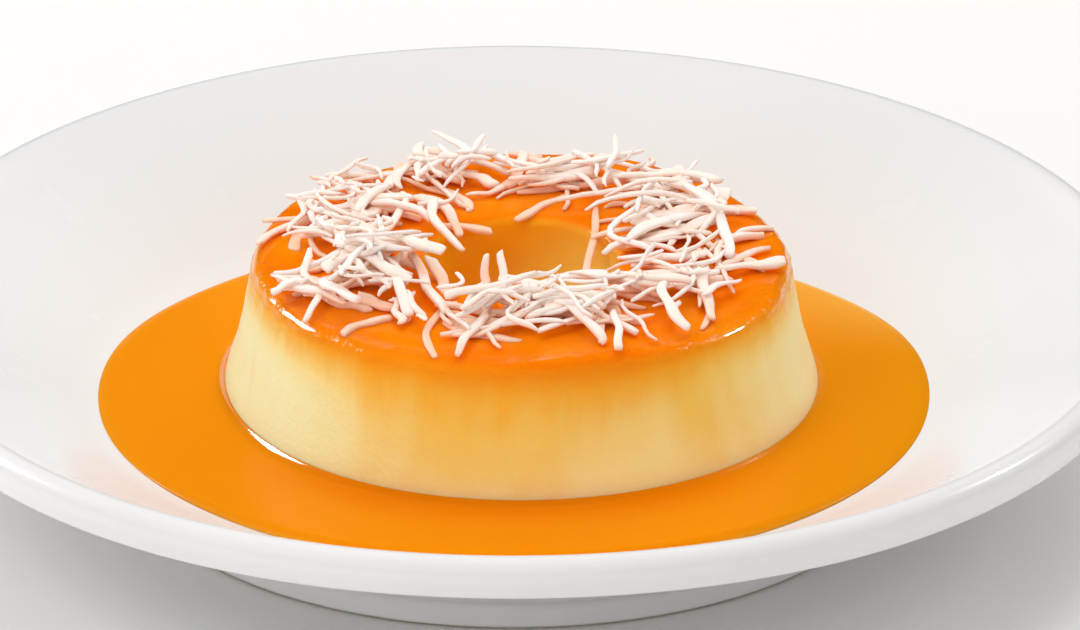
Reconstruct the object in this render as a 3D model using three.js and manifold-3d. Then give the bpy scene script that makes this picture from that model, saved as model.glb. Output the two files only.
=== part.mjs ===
// A ring-shaped creme caramel flan, topped with shredded coconut, in a pool of caramel sauce on a deep
// white plate. Millimetres, +Z up. The origin is the centre of the plate's foot, on the table.
//
// Nodes: plate, flan (custard ring with the coconut fused to its top), caramel_pool (the sauce round the
// flan) and caramel_well (the sauce inside the flan's hole).
import * as THREE from "three";
import { mergeVertices } from "three/addons/utils/BufferGeometryUtils.js";
import Module from "manifold-3d";

const wasm = await Module();
wasm.setup();

// ---- Driving dimensions -------------------------------------------------------------------------------
const GAP = 0.3; // between one piece and the next that it touches

const PLATE = {
  radius: 117,
  crestZ: 35.3, // top of the lip
  lipHeight: 8.4, // crest to the lip's lower edge
  lipWidth: 4.8,
  floorZ: 11.5,
  floorRadius: 60, // where the flat floor ends
  bowlRadius: 44.2, // of the arc between the floor and the wall
  wallAngle: THREE.MathUtils.degToRad(29),
  wallThickness: 5,
  footRadius: 70.5,
  footWidth: 4.6,
  footHeight: 6.5,
  recessZ: 4.6, // the underside inside the foot ring
  segments: 60,
};

const FLAN = {
  x: 1.4, // it stands a little off the plate's centre
  y: 4.5,
  topRadius: 49.4,
  holeTopRadius: 17.4,
  holeBottomRadius: 14.4,
  crownZ: 41.4, // highest ring of the top
  crownRadius: 31,
  crownDrop: 1.0, // fall from the crown to each edge of the top
  edgeFillet: 2.6,
  holeFillet: 2.2,
  segments: 64,
};
FLAN.bottomZ = PLATE.floorZ + GAP;
// Its outer wall, as heights over its foot and radii: straight above, a flare from the mould's lip below.
FLAN.wall = [
  [0, 53.7],
  [1.4, 54.5],
  [4, 54.7],
  [7.5, 53.8],
  [11, 52.5],
  [16, 51.4],
  [25.6, 49.8],
];

const POOL = {
  level: 15.1,
  halfWidth: 76,
  halfDepth: 73,
  edgeRound: 1.6, // how far in the rounded edge reaches
  meniscus: 0.9, // climb of the sauce against the custard
  meniscusReach: 2.2,
  segments: 56,
};

const COCONUT = {
  seed: 944,
  count: 74,
  samples: 25, // points along a shred's middle line
  rings: 5, // of those, the ones that the solid uses
  lengthMin: 9,
  lengthMax: 22,
  widthMin: 1.5,
  widthMax: 2.8,
  thicknessMin: 0.9,
  thicknessMax: 1.4,
  heroThickness: 1.15,
  bendMax: 1.5, // radians turned from end to end, at most
  rollMax: 0.55, // radians turned about its own length, at most
  curlShare: 0.2, // share of the loose shreds with an end that curls up
  curlMax: 2, // rise of such an end
  outwardSpread: 1.3, // times a clump's spread, away from the axis
  sidewaysSpread: 1.9, // times a clump's spread, round the axis
  drape: 0.018, // fall of an unsupported stretch, for each square millimetre from where it is held
  droop: 0.25, // fall of an overhanging stretch for each millimetre past the custard's edge
  nest: 0.7, // share of its thickness that a shred adds to the heap
  sink: 0.5, // how deep a shred beds into what it lies on
  tolerance: 0.06, // below which slivers left by the joining are cleaned away
  cell: 0.75, // of the height map that shreds are laid on
  mapHalf: 54,
};

// Where the coconut lies: azimuth in degrees from +X, distance from the flan's axis, spread and share.
const CLUMPS = [
  { azimuth: 20, radius: 29, spread: 6, share: 9 },
  { azimuth: 40, radius: 37, spread: 6, share: 8 },
  { azimuth: 64, radius: 31, spread: 5, share: 4 },
  { azimuth: 86, radius: 36, spread: 5, share: 4 },
  { azimuth: 110, radius: 37, spread: 5, share: 5 },
  { azimuth: 130, radius: 31, spread: 6, share: 6 },
  { azimuth: 146, radius: 38, spread: 5.5, share: 6 },
  { azimuth: 172, radius: 35, spread: 5.5, share: 5 },
  { azimuth: 194, radius: 30, spread: 6, share: 9 },
  { azimuth: 208, radius: 38, spread: 5.5, share: 6 },
  { azimuth: 230, radius: 33, spread: 6, share: 6 },
  { azimuth: 254, radius: 33, spread: 5.5, share: 5 },
  { azimuth: 274, radius: 28, spread: 5.5, share: 6 },
  { azimuth: 296, radius: 32, spread: 6, share: 6 },
  { azimuth: 322, radius: 34, spread: 5.5, share: 6 },
  { azimuth: 345, radius: 30, spread: 5.5, share: 6 },
  { azimuth: 2, radius: 37, spread: 5, share: 4 },
];

// Shreds that stand out: ends in the flan's own plan, bend, width and how far the second end curls up.
const HEROES = [
  { from: [-35, 17], to: [-49.5, 4], bend: 0.9, width: 1.9, curl: 1.5 },
  { from: [-15.5, 13], to: [-5.5, 12], bend: -0.4, width: 1.9, curl: 0 },
  { from: [-17.5, 15], to: [-12, -1], bend: 1.1, width: 1.9, curl: 0 },
  { from: [-6.5, -15.5], to: [-5.7, -6.5], bend: 0, width: 1.9, curl: 4.5 },
  { from: [-3.5, -18.5], to: [-4.5, -8.5], bend: 0.8, width: 1.7, curl: 4 },
  { from: [14.2, 20], to: [11.5, -10], bend: -0.1, width: 1.7, curl: 0 },
  { from: [8.5, 26], to: [-1, 16], bend: 0.3, width: 1.9, curl: 0 },
  { from: [36, 14], to: [19, -1], bend: 0.3, width: 2.6, curl: 0 },
  { from: [32.5, 19.5], to: [39.5, -5.5], bend: -0.8, width: 2.3, curl: 0 },
  { from: [36, -10.5], to: [48.5, -5], bend: 0.2, width: 2.4, curl: 0 },
  { from: [33, -8.5], to: [34.5, -29.5], bend: 0.3, width: 2.3, curl: 0 },
  { from: [25, -23.5], to: [29.5, -36], bend: 1, width: 2.3, curl: 0 },
  { from: [6.5, -30], to: [15.5, -41.5], bend: -0.3, width: 1.9, curl: 0 },
  { from: [17, -31.5], to: [18, -44.5], bend: -0.3, width: 1.7, curl: 0 },
  { from: [-26, -13], to: [-20, -30.5], bend: -0.5, width: 2.2, curl: 0 },
  { from: [-20, -6], to: [-14, -30], bend: 0.1, width: 2, curl: 0 },
  { from: [-12.5, -20], to: [-16, -8], bend: 0.3, width: 2.8, curl: 3 },
  { from: [-33, -34], to: [-24, -28.5], bend: -0.8, width: 1.9, curl: 0 },
  { from: [-31, 9], to: [-22.5, 33], bend: 0.1, width: 2.4, curl: 0 },
  { from: [-16, 29.5], to: [-8.5, 20], bend: -1.2, width: 2, curl: 0 },
  { from: [-3, -16.5], to: [15.5, -18], bend: 0, width: 2.6, curl: 0 },
  { from: [-12, -46], to: [-6.5, -32], bend: -0.2, width: 1.9, curl: 0 },
  { from: [-44, -18], to: [-32, -26.5], bend: -0.3, width: 1.9, curl: 0 },
  { from: [-45.5, -23.5], to: [-40.5, -18.5], bend: -0.3, width: 1.8, curl: 0 },
  { from: [-12, 33], to: [-4.5, 29], bend: -0.9, width: 2.1, curl: 0 },
];

// ---- Shared helpers -----------------------------------------------------------------------------------
const arc = (cx, cz, radius, from, to, steps) =>
  Array.from({ length: steps + 1 }, (_, i) => {
    const a = THREE.MathUtils.degToRad(from + ((to - from) * i) / steps);
    return [cx + radius * Math.cos(a), cz + radius * Math.sin(a)];
  });

// A surface of revolution about +Z from an outline of [radius, height] pairs.
function lathe(outline, segments) {
  const points = outline.map(([r, z]) => new THREE.Vector2(r, z));
  return new THREE.LatheGeometry(points, segments).rotateX(Math.PI / 2);
}

// A closed skin over rows of points: each row is a loop, and the rows close on each other or are capped.
function skin(rows, closed) {
  const n = rows[0].length;
  const positions = rows.flat(2);
  const index = [];
  const bands = closed ? rows.length : rows.length - 1;
  for (let i = 0; i < bands; i++) {
    const a = i * n;
    const b = ((i + 1) % rows.length) * n;
    for (let j = 0; j < n; j++) {
      const k = (j + 1) % n;
      index.push(a + j, b + j, b + k, a + j, b + k, a + k);
    }
  }
  if (!closed) {
    const last = (rows.length - 1) * n;
    for (let j = 1; j < n - 1; j++) index.push(0, j, j + 1, last, last + j + 1, last + j);
  }
  const geometry = new THREE.BufferGeometry();
  geometry.setAttribute("position", new THREE.Float32BufferAttribute(positions, 3));
  geometry.setIndex(index);
  return geometry;
}

// A geometry as a solid, with its faces turned outwards.
function toSolid(geometry) {
  const bare = geometry.clone();
  bare.deleteAttribute("normal");
  bare.deleteAttribute("uv");
  const merged = mergeVertices(bare, 1e-4);
  const triVerts = new Uint32Array(merged.index.array);
  const vertProperties = merged.attributes.position.array;
  const solid = new wasm.Manifold(new wasm.Mesh({ numProp: 3, vertProperties, triVerts }));
  if (solid.volume() > 0) return solid;
  for (let i = 0; i < triVerts.length; i += 3) {
    [triVerts[i + 1], triVerts[i + 2]] = [triVerts[i + 2], triVerts[i + 1]];
  }
  return new wasm.Manifold(new wasm.Mesh({ numProp: 3, vertProperties, triVerts }));
}

// A solid back as a geometry.
function toGeometry(solid) {
  const { numProp, numVert, vertProperties, triVerts } = solid.getMesh();
  const positions = new Float32Array(numVert * 3);
  for (let i = 0; i < numVert; i++) {
    positions.set(vertProperties.subarray(i * numProp, i * numProp + 3), i * 3);
  }
  const geometry = new THREE.BufferGeometry();
  geometry.setAttribute("position", new THREE.BufferAttribute(positions, 3));
  geometry.setIndex(new THREE.BufferAttribute(triVerts, 1));
  return geometry;
}

// ---- Plate --------------------------------------------------------------------------------------------
// Height of the plate's upper face at a distance from its centre: floor, then an arc, then a straight wall.
const arcEnd = PLATE.floorRadius + PLATE.bowlRadius * Math.sin(PLATE.wallAngle);
const arcEndZ = PLATE.floorZ + PLATE.bowlRadius * (1 - Math.cos(PLATE.wallAngle));
function plateTop(r) {
  if (r <= PLATE.floorRadius) return PLATE.floorZ;
  if (r < arcEnd) {
    const across = r - PLATE.floorRadius;
    return PLATE.floorZ + PLATE.bowlRadius - Math.sqrt(PLATE.bowlRadius ** 2 - across ** 2);
  }
  return arcEndZ + (r - arcEnd) * Math.tan(PLATE.wallAngle);
}

// The plate's outline: foot ring, underside, rounded lip, then the upper face back to the axis.
function plateOutline() {
  const { radius, crestZ, lipHeight, lipWidth, footRadius, footWidth, footHeight } = PLATE;
  const under = (r) => plateTop(r) - PLATE.wallThickness / Math.cos(PLATE.wallAngle);
  const lipLow = crestZ - lipHeight;
  const crestR = radius - lipWidth / 2;
  const foot = [
    [0, PLATE.recessZ],
    [footRadius - footWidth - 2.4, PLATE.recessZ],
    [footRadius - footWidth, 0.6],
    [footRadius - footWidth + 0.6, 0],
    [footRadius - 0.8, 0],
    [footRadius, 0.8],
    [footRadius + 0.6, footHeight - 1.4],
    [footRadius + 2.2, footHeight],
  ];
  const underside = [arcEnd, 100].map((r) => [r, under(r)]);
  const lip = [
    [radius - 4.4, under(radius - 4.4)],
    [radius - 1.4, lipLow],
    [radius - 0.4, lipLow + 0.8],
    [radius, lipLow + 3],
    ...arc(crestR, crestZ - lipWidth / 2, lipWidth / 2, 10, 140, 5),
  ];
  const wall = [110, arcEnd, 75, 69, PLATE.floorRadius].map((r) => [r, plateTop(r)]);
  return [...foot, ...underside, ...lip, ...wall, [0, PLATE.floorZ]];
}

// ---- Custard ring -------------------------------------------------------------------------------------
// Height of the custard's top at a distance from its axis: a low crown between the two edges.
function flanTop(r) {
  const half = FLAN.topRadius - FLAN.crownRadius;
  return FLAN.crownZ - FLAN.crownDrop * ((r - FLAN.crownRadius) / half) ** 2;
}

// Radius of the custard's outer wall at a height.
function flanWall(z) {
  const up = z - FLAN.bottomZ;
  const k = FLAN.wall.findIndex(([height], i) => i > 0 && up <= height);
  const [[lowZ, lowR], [highZ, highR]] = [FLAN.wall[k - 1], FLAN.wall[k]];
  return THREE.MathUtils.mapLinear(up, lowZ, highZ, lowR, highR);
}

// The custard's outline: outer wall, rounded edge, crowned top, then the hole down to the foot.
function flanOutline() {
  const { topRadius, edgeFillet, holeFillet, holeTopRadius, holeBottomRadius, bottomZ } = FLAN;
  const edgeR = topRadius - edgeFillet;
  const holeR = holeTopRadius + holeFillet;
  const edgeZ = flanTop(edgeR) - edgeFillet;
  const holeZ = flanTop(holeR) - holeFillet;
  const outline = [
    ...FLAN.wall.map(([up, r]) => [r, bottomZ + up]),
    ...arc(edgeR, edgeZ, edgeFillet, 12, 90, 4),
    [FLAN.crownRadius + 7, flanTop(FLAN.crownRadius + 7)],
    [FLAN.crownRadius - 4, flanTop(FLAN.crownRadius - 4)],
    ...arc(holeR, holeZ, holeFillet, 90, 176, 3),
    [holeBottomRadius, bottomZ],
  ];
  return [...outline, outline[0]];
}

// ---- Caramel ------------------------------------------------------------------------------------------
// The pool's edge from the plate's centre: an oval, wider than it is deep.
function poolEdge(azimuth) {
  return 1 / Math.hypot(Math.cos(azimuth) / POOL.halfWidth, Math.sin(azimuth) / POOL.halfDepth);
}

// The sauce round the flan: at each azimuth a loop of points along the custard, the plate and the surface.
function poolGeometry() {
  const rows = [];
  for (let i = 0; i < POOL.segments; i++) {
    const a = (2 * Math.PI * i) / POOL.segments;
    const [ux, uy] = [Math.cos(a), Math.sin(a)];
    const edge = poolEdge(a);
    const wallAt = (z) => {
      const r = flanWall(z) + GAP + 0.1;
      const along = ux * FLAN.x + uy * FLAN.y;
      return along + Math.sqrt(along ** 2 - FLAN.x ** 2 - FLAN.y ** 2 + r ** 2);
    };
    const under = (r) => plateTop(r) + GAP;
    const climb = POOL.level + POOL.meniscus;
    const inner = wallAt(FLAN.bottomZ + 1.4);
    const middle = (inner + edge) / 2 + 3;
    const loop = [
      [inner, under(inner)],
      [PLATE.floorRadius + 6, under(PLATE.floorRadius + 6)],
      [middle + 2, under(middle + 2)],
      [edge - 0.4, under(edge - 0.4)],
      [edge, Math.min(POOL.level, under(edge) + 0.25)],
      [edge - POOL.edgeRound * 0.4, POOL.level - 0.12],
      [edge - POOL.edgeRound * 1.6, POOL.level],
      [wallAt(climb) + POOL.meniscusReach, POOL.level],
      [wallAt(climb) + POOL.meniscusReach * 0.35, POOL.level + POOL.meniscus * 0.35],
      [wallAt(climb), climb],
    ];
    rows.push(loop.map(([r, z]) => [r * ux, r * uy, z]));
  }
  return skin(rows, true);
}

// The sauce inside the hole: flat, with a small climb against the custard.
function wellOutline() {
  const radius = FLAN.holeBottomRadius - GAP;
  const bottom = PLATE.floorZ + GAP;
  return [
    [0, bottom],
    [radius - 0.4, bottom],
    [radius, bottom + 0.6],
    [radius, POOL.level + POOL.meniscus * 0.6],
    [radius - POOL.meniscusReach * 0.4, POOL.level + POOL.meniscus * 0.15],
    [radius - POOL.meniscusReach, POOL.level],
    [0, POOL.level],
  ];
}

// ---- Coconut ------------------------------------------------------------------------------------------
// A small seeded generator of numbers from 0 to 1.
function randomFrom(seed) {
  let state = seed >>> 0;
  return () => {
    state = (state + 0x6d2b79f5) >>> 0;
    let t = Math.imul(state ^ (state >>> 15), state | 1);
    t = (t + Math.imul(t ^ (t >>> 7), t | 61)) ^ t;
    return ((t ^ (t >>> 14)) >>> 0) / 4294967296;
  };
}

// The plan of one shred: its middle, heading, length, bend, width, thickness, roll and end curl.
function drawShred(random) {
  const total = CLUMPS.reduce((sum, clump) => sum + clump.share, 0);
  let pick = random() * total;
  const clump = CLUMPS.find((c) => (pick -= c.share) <= 0) ?? CLUMPS[0];
  const angle = THREE.MathUtils.degToRad(clump.azimuth);
  const bell = () => random() + random() + random() - 1.5;
  const outward = clump.radius + bell() * clump.spread * COCONUT.outwardSpread;
  const sideways = bell() * clump.spread * COCONUT.sidewaysSpread;
  const mid = [
    outward * Math.cos(angle) - sideways * Math.sin(angle),
    outward * Math.sin(angle) + sideways * Math.cos(angle),
  ];
  const { lengthMin, lengthMax, widthMin, widthMax, thicknessMin, thicknessMax } = COCONUT;
  return {
    mid,
    heading: random() * Math.PI,
    length: lengthMin + (lengthMax - lengthMin) * random() ** 1.3,
    bend: (random() - 0.5) * 2 * COCONUT.bendMax,
    width: widthMin + (widthMax - widthMin) * random() ** 1.6,
    thickness: thicknessMin + (thicknessMax - thicknessMin) * random(),
    roll: (random() - 0.5) * 2 * COCONUT.rollMax,
    curl: random() < COCONUT.curlShare ? COCONUT.curlMax * random() : 0,
  };
}

// A shred that stands out, in the same terms.
function heroShred({ from, to, bend, width, curl }) {
  const run = [to[0] - from[0], to[1] - from[1]];
  return {
    mid: [(from[0] + to[0]) / 2, (from[1] + to[1]) / 2],
    heading: Math.atan2(run[1], run[0]),
    length: Math.hypot(...run) * (1 + bend ** 2 / 24),
    bend,
    width,
    thickness: COCONUT.heroThickness,
    roll: 0,
    curl,
  };
}

// The middle line of a shred in plan: an arc, centred on its middle.
function shredPlan(shred) {
  const n = COCONUT.samples;
  const step = shred.length / (n - 1);
  const points = [[0, 0]];
  for (let i = 1; i < n; i++) {
    const heading = shred.heading + shred.bend * ((i - 0.5) / (n - 1) - 0.5);
    const [x, y] = points[i - 1];
    points.push([x + step * Math.cos(heading), y + step * Math.sin(heading)]);
  }
  const [cx, cy] = points.reduce(([sx, sy], [x, y]) => [sx + x / n, sy + y / n], [0, 0]);
  return points.map(([x, y]) => [x - cx + shred.mid[0], y - cy + shred.mid[1]]);
}

// A map of heights over the flan's top, on which shreds are laid one after another. Past the custard's
// edges it falls away gently, as an overhanging shred does.
function makeHeightMap() {
  const { cell, mapHalf } = COCONUT;
  const side = Math.round((2 * mapHalf) / cell);
  const heights = new Float64Array(side * side);
  const innerR = FLAN.holeTopRadius + 0.6;
  const outerR = FLAN.topRadius - 0.8;
  for (let j = 0; j < side; j++) {
    for (let i = 0; i < side; i++) {
      const r = Math.hypot((i + 0.5) * cell - mapHalf, (j + 0.5) * cell - mapHalf);
      const beyond = Math.max(0, innerR - r, r - outerR);
      heights[j * side + i] = flanTop(THREE.MathUtils.clamp(r, innerR, outerR)) - COCONUT.droop * beyond;
    }
  }
  const at = (x, y) => {
    const i = Math.floor((x + mapHalf) / cell);
    const j = Math.floor((y + mapHalf) / cell);
    return Math.min(side - 1, Math.max(0, j)) * side + Math.min(side - 1, Math.max(0, i));
  };
  return { heights, at };
}

// Lays a shred on the map: it drapes in parabolas over what is below, then the map rises to it.
function layShred(shred, map) {
  const n = COCONUT.samples;
  const plan = shredPlan(shred);
  const side = plan.map((_, i) => {
    const [a, b] = [plan[Math.max(0, i - 1)], plan[Math.min(n - 1, i + 1)]];
    const run = Math.hypot(b[0] - a[0], b[1] - a[1]);
    return [-(b[1] - a[1]) / run, (b[0] - a[0]) / run];
  });
  const cells = plan.map(([x, y], i) =>
    [-0.45, 0, 0.45].map((k) => map.at(x + side[i][0] * k * shred.width, y + side[i][1] * k * shred.width)),
  );
  const support = cells.map((c) => Math.max(...c.map((k) => map.heights[k])));
  const step = shred.length / (n - 1);
  const drape = (i, j) => support[j] - COCONUT.drape * ((i - j) * step) ** 2;
  const rest = support.map((_, i) => Math.max(...support.map((__, j) => drape(i, j))));
  const z = rest.map((value, i) => value + shred.curl * Math.max(0, (2 * i) / (n - 1) - 1) ** 2);
  cells.forEach((c, i) => {
    for (const k of c) map.heights[k] = Math.max(map.heights[k], z[i] + shred.thickness * COCONUT.nest);
  });
  return plan.map(([x, y], i) => ({ x, y, z: z[i] + shred.thickness / 2 - COCONUT.sink, side: side[i] }));
}

// A shred's solid: a strip of four-cornered sections, narrower at both ends.
function shredGeometry(shred, line) {
  const { rings, samples } = COCONUT;
  const rows = [];
  for (let i = 0; i < rings; i++) {
    const t = i / (rings - 1);
    const { x, y, z, side } = line[Math.round(t * (samples - 1))];
    const taper = 1 - 0.5 * Math.abs(2 * t - 1) ** 4;
    const [c, s] = [Math.cos(shred.roll), Math.sin(shred.roll)];
    const [w, h] = [(shred.width / 2) * taper, (shred.thickness / 2) * taper];
    const corners = [
      [-w, -h],
      [w, -h],
      [w, h],
      [-w, h],
    ];
    rows.push(
      corners.map(([u, v]) => {
        const across = u * c - v * s;
        const up = u * s + v * c;
        return [x + side[0] * across, y + side[1] * across, z + up];
      }),
    );
  }
  return skin(rows, false);
}

// Every shred as a solid, each laid on the ones before it.
function coconutSolids() {
  const random = randomFrom(COCONUT.seed);
  const map = makeHeightMap();
  const shreds = Array.from({ length: COCONUT.count }, () => drawShred(random));
  shreds.push(...HEROES.map(heroShred));
  return shreds.map((shred) => toSolid(shredGeometry(shred, layShred(shred, map))));
}

// The custard and its coconut as one body; a shred that touches nothing is dropped.
function flanGeometry() {
  const custard = toSolid(lathe(flanOutline(), FLAN.segments));
  const fused = coconutSolids().reduce((whole, shred) => whole.add(shred), custard);
  const bodies = fused.simplify(COCONUT.tolerance).decompose();
  return toGeometry(bodies.reduce((a, b) => (b.volume() > a.volume() ? b : a)));
}

// ---- The group ----------------------------------------------------------------------------------------
const finishes = {
  porcelain: { color: 0xf1efec, roughness: 0.12, metalness: 0 },
  custard: { color: 0xf6cf86, roughness: 0.35, metalness: 0 },
  caramel: { color: 0xf08a08, roughness: 0.08, metalness: 0 },
};

function piece(name, geometry, finish) {
  const mesh = new THREE.Mesh(geometry, new THREE.MeshStandardMaterial(finishes[finish]));
  mesh.name = name;
  return mesh;
}

const flanPlace = new THREE.Group();
flanPlace.position.set(FLAN.x, FLAN.y, 0);
flanPlace.add(piece("flan", flanGeometry(), "custard"));
flanPlace.add(piece("caramel_well", lathe(wellOutline(), 28), "caramel"));

const dessert = new THREE.Group();
dessert.add(piece("plate", lathe(plateOutline(), PLATE.segments), "porcelain"));
dessert.add(piece("caramel_pool", poolGeometry(), "caramel"));
dessert.add(flanPlace);

export default dessert;
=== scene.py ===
"""A ring-shaped caramel flan with shredded coconut, in caramel sauce on a deep white plate.

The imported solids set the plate's size and the flan's place. The pieces here stand for them: the plate, the
custard ring, the sauce round it and in its hole, and the coconut. Lengths in the maths are millimetres until
a mesh is made.
"""

import math

import bpy
import numpy as np
from bpy.props import FloatProperty, FloatVectorProperty, IntProperty, PointerProperty
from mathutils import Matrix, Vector


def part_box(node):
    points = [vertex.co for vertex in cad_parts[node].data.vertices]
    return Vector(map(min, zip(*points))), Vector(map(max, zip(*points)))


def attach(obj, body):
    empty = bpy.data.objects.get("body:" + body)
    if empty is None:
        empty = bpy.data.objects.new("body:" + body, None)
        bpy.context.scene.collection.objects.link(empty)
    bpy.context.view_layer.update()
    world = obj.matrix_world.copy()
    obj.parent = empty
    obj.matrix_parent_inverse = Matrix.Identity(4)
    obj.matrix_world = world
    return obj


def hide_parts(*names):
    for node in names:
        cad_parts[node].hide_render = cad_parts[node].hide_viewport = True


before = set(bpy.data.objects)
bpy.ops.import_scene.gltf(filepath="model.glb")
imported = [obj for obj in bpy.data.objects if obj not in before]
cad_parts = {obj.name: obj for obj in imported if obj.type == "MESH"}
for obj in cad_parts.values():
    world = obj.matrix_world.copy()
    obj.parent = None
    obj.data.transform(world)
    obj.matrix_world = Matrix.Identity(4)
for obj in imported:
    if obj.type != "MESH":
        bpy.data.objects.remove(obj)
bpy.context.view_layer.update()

bl_info = {
    "name": "Caramel flan",
    "version": (1, 0, 0),
    "blender": (4, 5, 0),
    "location": "View3D > Sidebar > Flan",
    "description": "Builds a caramel flan with shredded coconut on its plate",
    "category": "Add Mesh",
}

PLATE_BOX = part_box("plate")
FLAN_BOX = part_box("flan")
FLAN_X = (FLAN_BOX[0][0] + FLAN_BOX[1][0]) / 2
FLAN_Y = (FLAN_BOX[0][1] + FLAN_BOX[1][1]) / 2
FLAN_CENTRE = (FLAN_X * 1000, FLAN_Y * 1000)


# ---- Shapes -------------------------------------------------------------------------------------------
def rounded(corners, radii, steps):
    """A polyline with rounded corners: each inner corner becomes the quadratic curve between the points that
    lie its radius before and after it."""
    corners = np.asarray(corners, float)
    pieces = [corners[:1]]
    t = np.linspace(0, 1, steps)[:, None]
    for before, corner, after, radius in zip(corners, corners[1:], corners[2:], radii):
        back, ahead = before - corner, after - corner
        back *= min(radius / np.hypot(*back), 0.49)
        ahead *= min(radius / np.hypot(*ahead), 0.49)
        pieces.append(corner + (1 - t) ** 2 * back + t**2 * ahead)
    return np.concatenate(pieces + [corners[-1:]])


def resampled(line, step):
    """The same polyline with points added, so that none are further apart than the step."""
    runs = np.hypot(*np.diff(line, axis=0).T)
    along = np.concatenate([[0], np.cumsum(runs)])
    extra = np.arange(0, along[-1], step)
    keep = extra[np.abs(extra[:, None] - along[None]).min(1) > step * 0.3]
    every = np.sort(np.concatenate([along, keep]))
    return np.stack([np.interp(every, along, line[:, k]) for k in (0, 1)], 1)


def make_mesh(name, points, quads, triangles=(), attributes=None):
    """A smooth-shaded mesh object from whole arrays. Points are in millimetres, and an attribute has a value
    for each of them."""
    mesh = bpy.data.meshes.new(name)
    points = np.reshape(points, (-1, 3)) * 0.001
    faces = [np.asarray(quads, np.int32).reshape(-1, 4), np.asarray(triangles, np.int32).reshape(-1, 3)]
    sizes = np.concatenate([np.full(len(f), f.shape[1], np.int32) for f in faces])
    corners = np.concatenate([f.ravel() for f in faces])
    mesh.vertices.add(len(points))
    mesh.vertices.foreach_set("co", points.astype(np.float32).ravel())
    mesh.loops.add(len(corners))
    mesh.loops.foreach_set("vertex_index", corners)
    mesh.polygons.add(len(sizes))
    mesh.polygons.foreach_set("loop_start", np.concatenate([[0], np.cumsum(sizes)[:-1]]).astype(np.int32))
    mesh.polygons.foreach_set("use_smooth", np.ones(len(sizes), bool))
    for key, values in (attributes or {}).items():
        layer = mesh.attributes.new(key, "FLOAT", "POINT")
        layer.data.foreach_set("value", np.asarray(values, np.float32).ravel())
    mesh.update(calc_edges=True)
    if mesh.validate():
        raise RuntimeError(f"{name} has faults in its faces")
    piece = bpy.data.objects.new(name, mesh)
    bpy.context.scene.collection.objects.link(piece)
    return piece


def loop_quads(rows, columns, closed_rows):
    """The quads of a grid whose columns run round: each joins two neighbouring rows and columns."""
    index = np.arange(rows * columns).reshape(rows, columns)
    upper = np.roll(index, -1, 0) if closed_rows else index[1:]
    lower = index if closed_rows else index[:-1]
    return np.stack([lower, np.roll(lower, -1, 1), np.roll(upper, -1, 1), upper], -1).reshape(-1, 4)


def cap_triangles(row, tip, outward):
    """A fan from the tip to one row of a grid whose columns run round."""
    pair = (row, np.roll(row, -1)) if outward else (np.roll(row, -1), row)
    return np.stack([np.full(len(row), tip), *pair], -1)


def capped(points, tips, downward):
    """A grid of rings that a tip closes at each end: all the points, the quads and the two fans. The rings
    follow each other upwards on the outside, or downwards."""
    rows, columns = points.shape[:2]
    count = rows * columns
    first, last = np.arange(columns), np.arange(count - columns, count)
    fans = [cap_triangles(first, count, downward), cap_triangles(last, count + 1, not downward)]
    quads = loop_quads(rows, columns, False)
    every = np.concatenate([points.reshape(-1, 3), tips])
    return every, quads[:, ::-1] if downward else quads, np.concatenate(fans)


def ring_points(radius, angle, height, centre=(0, 0)):
    """Points at a distance and an angle from an upright axis through the centre, and at a height."""
    x, y = centre
    return np.stack([x + radius * np.cos(angle), y + radius * np.sin(angle), height], -1)


def turned(line, segments):
    """Radii and heights carried round the axis: the angles, and a grid of points for each of them."""
    angle = np.linspace(0, 2 * math.pi, segments, endpoint=False)
    radius, height = line[:, :1], line[:, 1:]
    return angle, radius + 0 * angle, height + 0 * angle


def waves(angle, seed, lowest, highest, count):
    """A smooth closed ripple of about unit size: cosines of whole numbers of turns, with random phases."""
    random = np.random.default_rng(seed)
    turns = random.integers(lowest, highest, count)
    phase = random.uniform(0, 2 * math.pi, count)
    size = random.uniform(0.5, 1, count) / math.sqrt(count / 2)
    return sum(s * np.cos(k * angle + p) for s, k, p in zip(size, turns, phase))


def smoothstep(low, high, value):
    t = np.clip((value - low) / (high - low), 0, 1)
    return t * t * (3 - 2 * t)


# ---- Materials ----------------------------------------------------------------------------------------
class Value:
    """A socket whose Python maths adds Math nodes."""

    def __init__(self, shader, socket):
        self.shader, self.socket = shader, socket

    def math(self, operation, other, swap=False):
        pair = (other, self) if swap else (self, other)
        return self.shader.node("ShaderNodeMath", {"operation": operation}, dict(enumerate(pair)))

    def __add__(self, other):
        return self.math("ADD", other)

    def __radd__(self, other):
        return self.math("ADD", other, True)

    def __sub__(self, other):
        return self.math("SUBTRACT", other)

    def __rsub__(self, other):
        return self.math("SUBTRACT", other, True)

    def __mul__(self, other):
        return self.math("MULTIPLY", other)

    def __rmul__(self, other):
        return self.math("MULTIPLY", other, True)

    def __truediv__(self, other):
        return self.math("DIVIDE", other)

    def __rtruediv__(self, other):
        return self.math("DIVIDE", other, True)


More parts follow.
